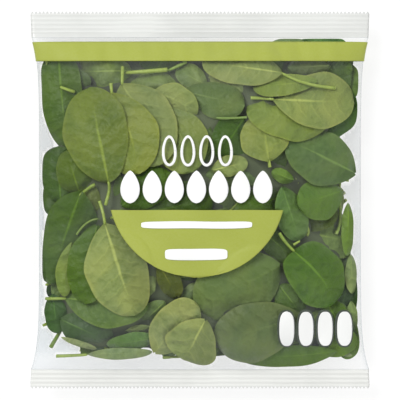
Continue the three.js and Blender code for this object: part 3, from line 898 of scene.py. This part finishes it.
# Right edge
leaf((298, 116), (360, 104), 42, (70, 100, 45))
leaf((338, 213), (304, 227), 16, (85, 100, 50))
leaf((349, 204), (348, 256), 9, (113, 142, 62))
stalk([(342, 180), (341, 203), (340, 227), (337, 234)], tone=(155, 180, 85))
stalk([(336, 178), (343, 179), (350, 180)])
leaf((352, 256), (353, 294), 9, (140, 160, 100), under=True, rib=0.3)
leaf((352, 303), (355, 330), 9, (135, 158, 95), under=True, rib=0.3)
leaf((352, 268), (338, 332), 19, (62, 88, 42))
leaf((321, 349), (353, 356), 5, (150, 166, 120), under=True, rib=0)
leaf((350, 318), (347, 360), 18, (92, 120, 50))
leaf((268, 47), (305, 43), 13, (120, 148, 88), belly=0.55)
leaf((346, 44), (296, 46), 17, (84, 130, 56), belly=0.4)
leaf((330, 65), (288, 67), 16, (104, 120, 78))
leaf((298, 67), (353, 70), 24, (92, 118, 58))
leaf((345, 60), (356, 97), 15, (105, 132, 62))

FILLER_TONES = ((90, 116, 54), (104, 130, 66), (80, 104, 50), (120, 142, 78), (98, 122, 70),
                (136, 153, 96))
PLACES_TRIED = 12


def scatter(heap, count, sizes, reach_x, low_y, high_y):
    """More leaves at random under those already laid, each in the least covered of several
    places tried. Every second one keeps its stalk."""
    for i in range(count):
        tried = np.stack([heap.random.uniform(-reach_x, reach_x, PLACES_TRIED),
                          heap.random.uniform(low_y, high_y, PLACES_TRIED)])
        middle = tried[:, np.argmin(sample(heap.open_roof - heap.roof, *tried))]
        turn = heap.random.uniform(0, 2 * math.pi)
        length = heap.random.uniform(*sizes)
        way = np.array([math.cos(turn), math.sin(turn)]) * length / 2
        base, tip = middle - way, middle + way
        tone = np.array(FILLER_TONES[heap.random.integers(len(FILLER_TONES))])
        tone = tone + heap.random.uniform(-8, 8)
        joins = heap.add_blade(base, tip, length * heap.random.uniform(0.52, 0.74), tone, seen=False,
                               sag=0.4, cup=heap.random.uniform(0.4, 2.2), wave=1.0, steps=(12, 18),
                               under=heap.random.random() < 0.25, bend=heap.random.uniform(-3, 3))
        if i % 2 == 0:
            away = base - way * heap.random.uniform(0.5, 0.9)
            heap.add_stalk([base, away], (148, 168, 78), joins=joins, seen=False, radius=1.1)


placed = len(front_heap.blades)
scatter(front_heap, count=140, sizes=(30, 56), reach_x=92, low_y=-94, high_y=97)


def without_holes(field):
    """The field with its low single cells filled: the highest value, then the lowest, of each
    cell's neighbours."""
    return spread(spread(field, 1, np.max), 1, np.min)


# The film is a little whiter over the gaps between the leaves, a painted veil of light that
# lifts the shade in the gaps. Where no leaf is near it, it is milkier, partly the film's haze
# and partly painted shade that greys the margins, mostly on the left, and clearer towards the
# seals, as painted light on the steep ends that lie in shade.
gap_depth = spread(front_heap.open_roof - without_holes(front_heap.top), 1, np.mean)
painted_gap_veil = 0.03 * smooth_step(2.0, 9.0, sample(gap_depth, ring_x, ring_y))
touched = without_holes((front_heap.open_roof - front_heap.roof > 0.1).astype(float))
free = 1 - smooth_step(0.1, 0.6, sample(touched, ring_x, ring_y))
painted_end_light = np.where(ring_y > 0, 0.21, 0.2) * smooth_step(0.86, 0.94, end_share)
free_milk = free * (0.34 - 0.11 * ring_x / (FILM_WIDTH / 2) - painted_end_light)
milk = np.where(welded, milk, np.maximum(milk + painted_gap_veil, free_milk))
film.data.attributes["milk"].data.foreach_set("value", milk.astype(np.float32))

leaf_finish, start = new_material("spinach_leaf")
tone = start.attribute("tone", "Color")
own = start.attribute("own", "Vector")
aside, along = own.part("X"), own.part("Y")
kind = start.attribute("kind", "Vector")
underside, rib_shows, patchy = kind.part("X"), kind.part("Y"), kind.part("Z")
on_blade = start.node("ShaderNodeUVMap", {"uv_map": "surface"})
from_middle, from_base = on_blade.part("X"), on_blade.part("Y")
wander, mottle, broad = own.noise(0.9, 2.0), own.noise(2.6, 4.0), own.noise(0.45, 1.0)
winding = from_middle + 0.16 * (wander - 0.5) * from_base
from_rib = winding.math("ABSOLUTE", winding)
rib_fades = (from_base - 0.25 * patchy).step(0.2, 0.75)
midrib = (1 - (from_rib + 0.06 * from_base).step(0.03, 0.1)) * (1 - rib_fades)
vein_phase = (along - 0.6 * aside.math("ABSOLUTE", aside)) * 1.05 + 0.9 * wander
vein_gap = vein_phase.math("PINGPONG", vein_phase, 0.5)
side_vein = (1 - vein_gap.step(0.0, 0.11)) * (1 - from_rib.step(0.45, 0.9))
net = start.node("ShaderNodeTexVoronoi", {"feature": "DISTANCE_TO_EDGE"},
                 {"Vector": own, "Scale": 4.5})
veins = side_vein * (0.07 + 0.12 * underside) + midrib * rib_shows * 0.9
yellower = start.blend(1.0, tone, (1.32, 1.2, 1.05, 1), "MULTIPLY")
lighter = start.blend(1.0, tone, (1.9, 1.75, 1.6, 1), "MULTIPLY")
darker = start.blend(1.0, tone, (0.66, 0.74, 0.60, 1), "MULTIPLY")
patched = start.blend(mottle.step(0.36, 0.7) * (0.25 + 0.5 * patchy), tone, darker)
# Broad random patches turn the leaf yellower, its own tone; the yellower rim along the blade's edge is
# a painted highlight, light shining through the thin margin.
yellow_patches_and_rim_light = start.blend(broad.step(0.42, 0.66) * 0.6 + from_rib.step(0.86, 1.0) * 0.5, patched, yellower)
colour = start.blend(veins, yellow_patches_and_rim_light, lighter)
relief = 0.7 * mottle + 1.1 * wander + 0.3 * vein_gap.step(-0.1, 0.5) - 0.02 * net
start.surface({
    "Base Color": colour, "Roughness": 0.42 + 0.14 * underside, "Specular IOR Level": 0.2,
    "Normal": relief.bump(0.8, 0.0024),
})

leaf_piece("spinach_leaves_front", front_heap.blades[:placed], leaf_finish)
leaf_piece("spinach_leaves_inner", front_heap.blades[placed:], leaf_finish)


# The stalks: pale, juicy and about three millimetres thick or less, cut off square. They
# show between the blades, most of them still on their leaf.

STALK_SIDES = 8


def stalk_piece(name, stalks, finish, towards=1):
    """One piece of the stalks: a circle carried along each path, with ends closed by a point."""
    angle = np.linspace(0, 2 * math.pi, STALK_SIDES, endpoint=False)
    points, faces, tones = [], [], []
    count = 0
    for line, radius, shade in stalks:
        steps = len(line)
        along = np.gradient(line, axis=0)
        along /= np.linalg.norm(along, axis=1, keepdims=True)
        side = np.cross(along, [0, 0, 1])
        side /= np.linalg.norm(side, axis=1, keepdims=True)
        over = np.cross(side, along)
        size = radius * np.linspace(0.82, 1.08, steps)[:, None, None]
        ring = line[:, None] + size * (np.cos(angle)[None, :, None] * side[:, None]
                                       + np.sin(angle)[None, :, None] * over[:, None])
        ring[0] = line[0] + 0.3 * (ring[0] - line[0])
        block = np.concatenate([ring.reshape(-1, 3), line[[0, -1]]]) * [1, 1, towards]
        tube = ring_faces(steps, STALK_SIDES)
        faces += ((tube if towards < 0 else tube[:, ::-1]) + count).tolist()
        first = np.arange(STALK_SIDES)
        after = (first + 1) % STALK_SIDES
        last = STALK_SIDES * (steps - 1)
        centre = steps * STALK_SIDES
        for hub, start, turn in ((centre, 0, False), (centre + 1, last, True)):
            fan = np.stack([first + start, after + start, np.full(STALK_SIDES, hub)], axis=1)
            fan = fan[:, ::-1] if turn != (towards < 0) else fan
            faces += (fan + count).tolist()
        colour = np.tile([*shade, 1.0], (len(block), 1))
        colour[last:steps * STALK_SIDES, :3] *= 1.15
        colour[-1, :3] = linear(205, 214, 150)[:3]
        points.append(block)
        tones.append(colour)
        count += len(block)
    points, tones = np.concatenate(points), np.concatenate(tones)
    add_piece(name, points, faces, finish, "film", ["film_bag"], tone=tones)


stalk_finish, start = new_material("spinach_stalk")
tone = start.attribute("tone", "Color")
fibres = start.node("ShaderNodeTexCoord", output="Object").noise(500.0, 2.0)
shaded = start.blend(1.0, tone, (0.8, 0.84, 0.7, 1), "MULTIPLY")
start.surface({
    "Base Color": start.blend(fibres.step(0.4, 0.7), tone, shaded),
    "Roughness": 0.35 + 0.15 * fibres, "Normal": fibres.bump(0.3, 0.0006),
})

stalk_piece("spinach_stalks_front", front_heap.stalks, stalk_finish)


# The back leaves: the same leaves against the back film, as they fall, since the photograph
# doesn't show them. Heights are measured downwards here, so the back film is their roof.

BACK_REACH = 8              # mm that they may reach over the side folds
back_floor = np.maximum(-FOLD_HEIGHT - BACK_REACH, LEAF_THICKNESS - thin_floor)
back_heap = Heap(-back_film - FILM_CLEARANCE, back_floor, seed=11)
scatter(back_heap, count=120, sizes=(34, 60), reach_x=92, low_y=-94, high_y=94)
leaf_piece("spinach_leaves_back", back_heap.blades, leaf_finish, towards=-1)
stalk_piece("spinach_stalks_back", back_heap.stalks, stalk_finish, towards=-1)


# The heart of the heap: the leaves too deep to be told apart, as one dark green cushion
# inside the others, which stops light passing through the bag. Its grey-green is darker
# than the leaves' own, as painted shade of the deep heap.

HEART_INSET, HEART_COVER = 15, 8.5      # mm inside the side folds, and under each film
heart_rows = np.linspace(-1, 1, 60)
heart_y = BODY_MIDDLE + (BODY_HALF - HEART_INSET) * np.sin(math.pi / 2 * heart_rows)[:, None]
heart_s = np.sin(np.linspace(-1, 1, 61) * math.pi / 2)[None, :]
heart_curve = np.maximum(0.02, rounded(heart_rows[:, None], 8, 0.5))
heart_x = heart_s * ((half_width(heart_y) - HEART_INSET) * heart_curve)
heart_y = heart_y + 0 * heart_s
inside = rounded(heart_s, 3, 0.5) * rounded(heart_rows[:, None], 3, 0.5)
over_heart, under_heart = front_height(heart_x, heart_y), back_height(heart_x, heart_y)
heart_middle = (over_heart + under_heart) / 2
heart_half_height = np.maximum(0.5, (over_heart - under_heart) / 2 - HEART_COVER)
lumps = 1.2 * np.sin(heart_x / 7 + 1) * np.cos(heart_y / 9) - 1.2
heart_top = heart_middle + inside * (heart_half_height + lumps)
heart_bottom = heart_middle - inside * (heart_half_height + lumps)
heart_ring = np.concatenate([
    np.stack([heart_x, heart_y, heart_top], axis=2),
    np.stack([heart_x, heart_y, heart_bottom], axis=2)[:, -2:0:-1],
], axis=1)
row_count, ring_count = heart_ring.shape[:2]
heart_faces = ring_faces(row_count, ring_count).tolist()
heart_faces += end_faces(ring_count, 0, False)
heart_faces += end_faces(ring_count, ring_count * (row_count - 1), True)
heart_finish, start = new_material("deep_leaves_painted_shade")
place = start.node("ShaderNodeTexCoord", output="Object")
clumps = start.node("ShaderNodeTexVoronoi", inputs={"Vector": place, "Scale": 45.0})
start.surface({
    "Base Color": start.blend(clumps.step(0.1, 0.6), linear(52, 62, 38), linear(78, 90, 54)),
    "Roughness": 0.7, "Normal": clumps.bump(0.8, 0.004),
})
heart_points = heart_ring.reshape(-1, 3)
add_piece("spinach_heart", heart_points, heart_faces, heart_finish, "film", ["film_bag"])


# The table: a wide white sheet that the bag lies on. It also gives off light, so that it is
# as white as the photograph's background.

TABLE_HALF = 3.0
table_mesh = bpy.data.meshes.new("white_table")
corners = np.array([(-1, -1, 0), (1, -1, 0), (1, 1, 0), (-1, 1, 0)]) * TABLE_HALF
table_mesh.from_pydata(corners, [], [(0, 1, 2, 3)])
table_finish, start = new_material("white_sheet")
start.surface({
    "Base Color": (0.25, 0.25, 0.25, 1), "Roughness": 0.9,
    "Emission Color": (1, 1, 1, 1), "Emission Strength": 0.78,
})
table_mesh.materials.append(table_finish)
table = bpy.data.objects.new("white_table", table_mesh)
bpy.context.collection.objects.link(table)
